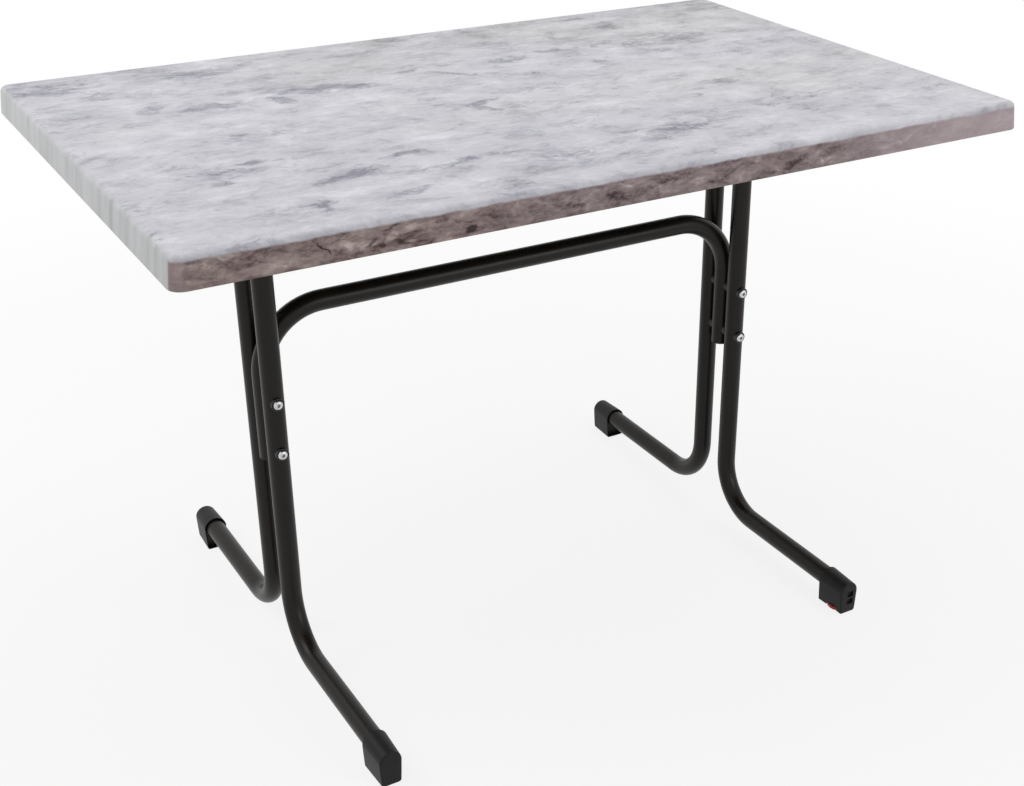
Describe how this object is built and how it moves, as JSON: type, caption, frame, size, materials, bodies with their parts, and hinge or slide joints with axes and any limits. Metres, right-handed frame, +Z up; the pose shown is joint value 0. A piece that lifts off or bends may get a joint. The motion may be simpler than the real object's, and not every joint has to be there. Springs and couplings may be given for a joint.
{
  "type": "garden table",
  "caption": "Rectangular garden table with a moulded stone-look top on a bolted frame of bent black steel tube, with plastic foot caps and a levelling glide.",
  "frame": {"origin": "on the floor, under the middle of the tabletop", "axes": "+X along the long side of the top to the right, +Y from the front to the back, +Z up"},
  "size_m": [1.1, 0.7, 0.72],
  "materials": {
    "stone_decor": "pressed wood with a matt laminated decor of grey marbled stone, red-brown on the front edge",
    "black_coated_tube": "satin black powder coat",
    "black_plastic": "matt moulded plastic",
    "spacer_plastic": "matt moulded plastic",
    "dark_washer": "black plated steel",
    "zinc_steel": "bright zinc plate",
    "red_plastic": "red moulded plastic",
    "brass": "plain brass"
  },
  "bodies": {
    "table": {"tabletop": "stone_decor", "crossbar": "black_coated_tube", "front_left_leg": "black_coated_tube", "front_left_foot_cap": "black_plastic", "front_left_arm_plug": "black_plastic", "front_left_inner_screw": "zinc_steel", "front_left_outer_screw": "zinc_steel", "front_right_leg": "black_coated_tube", "front_right_foot_cap": "black_plastic", "front_right_arm_plug": "black_plastic", "front_right_inner_screw": "zinc_steel", "front_right_outer_screw": "zinc_steel", "rear_left_leg": "black_coated_tube", "rear_left_foot_cap": "black_plastic", "rear_left_arm_plug": "black_plastic", "rear_left_inner_screw": "zinc_steel", "rear_left_outer_screw": "zinc_steel", "rear_right_leg": "black_coated_tube", "rear_right_foot_cap": "black_plastic", "rear_right_arm_plug": "black_plastic", "rear_right_inner_screw": "zinc_steel", "rear_right_outer_screw": "zinc_steel", "left_lower_bolt": "zinc_steel", "left_lower_sleeve_nut": "zinc_steel", "left_lower_dished_washer": "dark_washer", "left_lower_front_spacer": "spacer_plastic", "left_lower_rear_spacer": "spacer_plastic", "left_upper_bolt": "zinc_steel", "left_upper_sleeve_nut": "zinc_steel", "left_upper_dished_washer": "dark_washer", "left_upper_front_spacer": "spacer_plastic", "left_upper_rear_spacer": "spacer_plastic", "right_lower_bolt": "zinc_steel", "right_lower_sleeve_nut": "zinc_steel", "right_lower_dished_washer": "dark_washer", "right_lower_front_spacer": "spacer_plastic", "right_lower_rear_spacer": "spacer_plastic", "right_upper_bolt": "zinc_steel", "right_upper_sleeve_nut": "zinc_steel", "right_upper_dished_washer": "dark_washer", "right_upper_front_spacer": "spacer_plastic", "right_upper_rear_spacer": "spacer_plastic", "levelling_insert": "brass"},
    "glide_pad": {"levelling_pad": "black_plastic"},
    "thumb_wheel": {"levelling_wheel": "red_plastic"}
  },
  "joints": [
    {"name": "levelling_drop", "type": "slide", "parent": "table", "child": "glide_pad", "axis": [0, 0, -1], "range_m": [0, 0.006]},
    {"name": "levelling_turn", "type": "hinge", "parent": "glide_pad", "child": "thumb_wheel", "pos_m": [0.355, -0.3153, 0], "axis": [0, 0, -1], "range_deg": [0, 1440]}
  ],
  "couplings": [
    {"joint": "levelling_turn", "follows": "levelling_drop", "rad_per_m": 4188.8}
  ]
}
